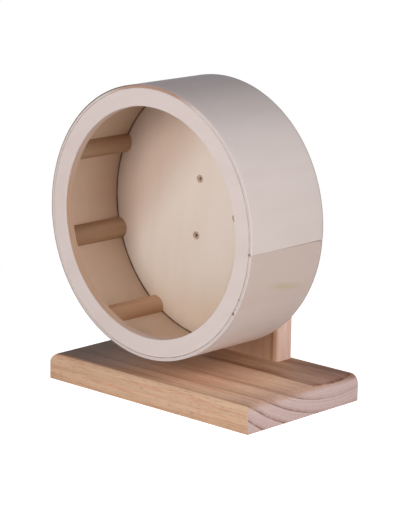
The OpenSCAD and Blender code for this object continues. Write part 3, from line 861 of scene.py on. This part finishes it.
# %% Plywood
def plywood(name, bent, sheet_count, ply_mm, start_mm, turn, face, sawn, core, inside=None, browned=None):
    """start_mm is where the first sheet begins: a place along Y on a panel, and a radius on the bent sheet.
    turn is the angle of the fibres on a flat panel's face.
    face, sawn and core are the colours of the face, of fibres sawn across, and of the crossed sheets.
    inside is the colour of the bent sheet's inner veneer, paler and warmer than the face: partly its own tone,
    partly painted light inside the drum.
    browned is the painted shade that a panel's face takes towards the upper left, where the ring shades it.
    The colour is the veneer's, or the edge's where the surface cuts a sheet or lies in a crossed one."""
    material, tree, place, facing = new_finish(name)
    axle_place = (0.0, 0.0, axle_height / MM)
    centred = add_node(tree, "VectorMath", {0: place, 1: axle_place}, operation="SUBTRACT").outputs[0]
    found = unrolled_place(tree, centred) if bent else panel_place(tree, centred, turn)
    first, second, along, across, depth, unrolled = found
    own = add_node(tree, "CombineXYZ", {0: along, 1: across, 2: depth}).outputs[0]
    order = sheet_order(tree, facing, first, second, depth, ply_mm, start_mm, sheet_count)
    sheets, number, crossed, cut = order
    outside = add_node(tree, "Math", {0: number, 1: 0.5}, operation="GREATER_THAN").outputs[0]
    plain = {0: outside, 6: linear(inside or face), 7: linear(face)}
    plain = add_node(tree, "Mix", plain, **PAINT).outputs[2]
    colour, fibre = veneer(tree, own, centred, plain, sawn, browned)
    edge = add_node(tree, "Mix", {0: crossed, 6: linear(face), 7: linear(core)}, **PAINT).outputs[2]
    edge = add_node(tree, "Mix", {0: cut, 6: edge, 7: linear(sawn)}, **PAINT).outputs[2]
    on_edge = add_node(tree, "Math", {0: cut, 1: crossed}, operation="MAXIMUM").outputs[0]
    if bent:
        share = add_node(tree, "Math", {0: unrolled, 1: 1 / TURN}, operation="MULTIPLY").outputs[0]
        inner_with_painted_light = inner_painted_light_and_shade(tree, colour, along, share)
        colour = add_node(tree, "Mix", {0: outside, 6: inner_with_painted_light, 7: colour}, **PAINT).outputs[2]
        colour = sheet_marks(tree, colour, along, across, outside, unrolled, share)
        edge = {0: 1.0, 6: edge, 7: edge_tone(tree, share, number)}
        edge = add_node(tree, "Mix", edge, **STAIN).outputs[2]
    else:
        # A panel's eased edge was sanded with its face and keeps the face's tone.
        inward = add_node(tree, "Math", {0: sheets, 1: sheet_count / 2}, operation="PINGPONG").outputs[0]
        sanded = {"Value": inward, "From Min": 0.35 / ply_mm, "From Max": 0.55 / ply_mm}
        sanded = add_node(tree, "MapRange", sanded).outputs[0]
        on_edge = add_node(tree, "Math", {0: on_edge, 1: sanded}, operation="MULTIPLY").outputs[0]
    colour = add_node(tree, "Mix", {0: on_edge, 6: colour, 7: edge}, **PAINT).outputs[2]
    # The glue lines between the sheets are drawn about 0.12 mm wide.
    near_glue = add_node(tree, "Math", {0: sheets, 1: 1.0}, operation="PINGPONG").outputs[0]
    near_glue = {"Value": near_glue, "From Min": 0.02, "From Max": 0.08, "To Min": 0.45, "To Max": 0.0}
    near_glue = add_node(tree, "MapRange", near_glue).outputs[0]
    glued = add_node(tree, "Math", {0: near_glue, 1: on_edge}, operation="MULTIPLY").outputs[0]
    colour = add_node(tree, "Mix", {0: glued, 6: colour, 7: linear("#7A5A41")}, **PAINT).outputs[2]
    # Glue and painted shade darken the wood where a panel meets the sheet.
    glue_and_shade = glue_and_shade_line(tree, centred, place)
    colour = add_node(tree, "Mix", {0: glue_and_shade, 6: colour, 7: linear("#684224")}, **PAINT).outputs[2]
    tubes = streaks(tree, own, (1.8, 1.8, 1.8), 2.0)
    height = add_node(tree, "Math", {0: tubes, 1: 0.4, 2: fibre}, operation="MULTIPLY_ADD").outputs[0]
    rough = add_node(tree, "MapRange", {"Value": fibre, "To Min": 0.6, "To Max": 0.72}).outputs[0]
    close_finish(tree, colour, rough, height, 0.0015, IOR=1.5, Specular_IOR_Level=0.2)
    return material


# %% [markdown]
# The metal and plastic parts
# The bolt, nut and washers are steel with a thin bright coat of zinc, tumbled in a barrel, so they are
# evenly dull with small crystals. The wood screws have a dull bronze coat. The bearings' races and balls are
# ground and polished. The bearing cages and the nut's locking ring are nylon. One plain colour would look
# like plastic on all of them, and crystals are too small to model, so patterns in their real size change
# the colour, the roughness and the relief a little.

# %% Plated, polished and moulded finishes
def metal(name, base, darker, roughness, grain_mm, relief_mm):
    """Plated or ground metal: two close colours and a small change of roughness, in cells of grain_mm."""
    material, tree, place = new_finish(name)[:3]
    crystals = add_node(tree, "TexVoronoi", {"Vector": place, "Scale": 1 / grain_mm},
                        feature="F1").outputs["Color"]
    tone = streaks(tree, place, (0.5 / grain_mm,) * 3, 3.0)
    colour = linear(base)
    for pattern, strength in ((crystals, [(0.2, 0.0), (0.8, 0.6)]), (tone, [(0.4, 0.0), (0.7, 0.4)])):
        amount = add_node(tree, "ValToRGB", {"Fac": pattern}, strength).outputs[0]
        colour = add_node(tree, "Mix", {0: amount, 6: colour, 7: linear(darker)}, **PAINT).outputs[2]
    rough = {"Value": tone, "From Min": 0.3, "From Max": 0.7,
             "To Min": roughness * 0.8, "To Max": roughness * 1.25}
    rough = add_node(tree, "MapRange", rough).outputs[0]
    close_finish(tree, colour, rough, tone, relief_mm, Metallic=1.0)
    return material


def nylon(name, base, darker):
    """Moulded nylon: a waxy plastic with a faint cloudiness and a fine moulded grain of 0.4 mm."""
    material, tree, place = new_finish(name)[:3]
    cloud = streaks(tree, place, (0.25, 0.25, 0.25), 2.0)
    cloud = add_node(tree, "ValToRGB", {"Fac": cloud}, [(0.35, 0.0), (0.65, 1.0)]).outputs[0]
    grain = streaks(tree, place, (2.5, 2.5, 2.5), 2.0)
    colour = add_node(tree, "Mix", {0: cloud, 6: linear(base), 7: linear(darker)}, **PAINT).outputs[2]
    rough = add_node(tree, "MapRange", {"Value": grain, "To Min": 0.38, "To Max": 0.55}).outputs[0]
    close_finish(tree, colour, rough, grain, 0.01, IOR=1.53)
    return material


# %% [markdown]
# Which piece has which finish
# The record names a material slot for each piece, and one table turns each slot into its finish. The board's
# pith lies above and behind it, as the arcs on its sawn end show, and its rings are 9.6 mm wide.

# %% Tones along the heartwood and from rung to rung
# Tones along the board: the heartwood's own colour, darkened towards the left end as painted shade of the
# wheel.
heart_tones_and_painted_shade = [(0.0, "#6B5D50"), (0.1, "#705F53"), (0.25, "#9A8171"), (0.45, "#C69D7A"), (0.62, "#E2BC9B"),
               (0.85, "#E0BFA1"), (0.95, "#CFAD97"), (1.0, "#C4A48F")]
# The heartwood's radius about the pith, its tones with painted shade, and the centre and half size of a spot
# of painted shadow.
heart_and_shade = (163.6, heart_tones_and_painted_shade, (78.0, 56.0), (52.0, 44.0))
# Each rung has its own tone, with painted shade: darker rungs on the left inside the drum, palest at lower
# left.
rung_tones_and_painted_shade = ["#F4F2F0", "#E9E7E5", "#F9F7F5", "#EEECEA", "#DAD9D8",
              "#DDDCDA", "#FFFFFF", "#EBE8E4", "#F2F1F0"]
print("%d tones along the heartwood, %d rungs" % (len(heart_tones_and_painted_shade), len(rung_tones_and_painted_shade)))

# %% Finishes by slot
finishes = {
    # Planed pine is matt, with wide dark bands of summer wood and a grey-brown heart, darkened at the board's
    # left end as painted shade of the wheel.
    "base_pine": pine("planed pine of the board", (0, 1, 2), (37.0, 153.6), 9.6, 135.9, 0.7,
                      "#D1B090", "#A58773", "#D4BCB3", heart_and_shade=heart_and_shade),
    # The post's timber is paler, and its face has long soft bands. Its front and back are darkened as painted
    # shade.
    "post_pine": pine("planed pine of the post", (2, 0, 1), (-12.0, 20.0), 11.6, 15.5, 0.8,
                      "#EFD2C0", "#DDC5AD", "#D8BDB6", figure=0.7, painted_face_shade="#EBDECC"),
    # A small moulding looks smooth and darker, because its rings are narrow and hardly show.
    "rung_pine": pine("half-round pine moulding", (1, 0, 2), (40.0, 60.0), 3.2, 0.0, 1.0,
                      "#D9B492", "#F4F0EB", "#B08A6C", figure=0.4, bars=rung_tones_and_painted_shade),
    # Peeled veneer is matt and even, warm inside the drum and greyer outside. The paler inside is partly
    # painted light.
    "skin_plywood": plywood("bent three-ply", True, 3, 0.8, sheet_inner / MM, 0.0,
                            "#D6CAC1", "#CCC0B8", "#C8B9AE", inside="#F7DFC8"),
    # The panels were sawn to a circle, so their edges go from pale to brown and back twice a turn.
    "ring_plywood": plywood("sawn plywood of the ring", False, 5, 1.4, ring_low.y / MM, 0.45,
                            "#D1C3BA", "#D2B298", "#CEAB8E"),
    # The disc's face turns browner towards the upper left as painted shade of the ring.
    "disc_plywood": plywood("sawn plywood of the disc", False, 5, 2.0, disc_low.y / MM, 1.45,
                            "#E2D6C6", "#C7A58C", "#CDB19C", browned="#E8DBD5"),
    # Turned beech is warmer than pine, with narrow faint rings.
    "hub_beech": pine("turned beech", (1, 0, 2), (-60.0, 190.0), 2.6, 0.0, 0.6,
                      "#D0A67F", "#E1D6C9", "#BE926C"),
    # Zinc plate is evenly dull, the bronze coat duller and warm, and ground steel nearly a mirror.
    "zinc_steel": metal("zinc-plated steel", "#C9CCD0", "#A6A9AD", 0.32, 0.9, 0.006),
    "screw_steel": metal("bronzed steel", "#C6AE9E", "#9C8675", 0.55, 0.5, 0.006),
    "bearing_steel": metal("ground bearing steel", "#CDCED0", "#BDBEC1", 0.12, 1.5, 0.001),
    # A shield is pressed from sheet, which leaves a soft sheen.
    "shield_steel": metal("pressed shield steel", "#B4B6B9", "#9A9CA0", 0.28, 0.8, 0.004),
    # Nylon is waxy and slightly cloudy.
    "cage_nylon": nylon("natural nylon", "#E4DBC4", "#D8CDB2"),
    "insert_nylon": nylon("blue nylon of the lock nut", "#4E6CA8", "#3E5990"),
}
print(len(finishes), "finishes")

# %% Finishes on the pieces
for entry in frame["record"]["subparts"]:
    piece = nodes[entry["node"]]
    piece.material_slots[0].link = "OBJECT"
    piece.material_slots[0].material = finishes[entry["material_slot"]]
sheet.data.materials.append(finishes["skin_plywood"])
bolt.data.materials.append(finishes["zinc_steel"])

# %% [markdown]
# The end
# The scene is brought up to date.

# %% The end
bpy.context.view_layer.update()
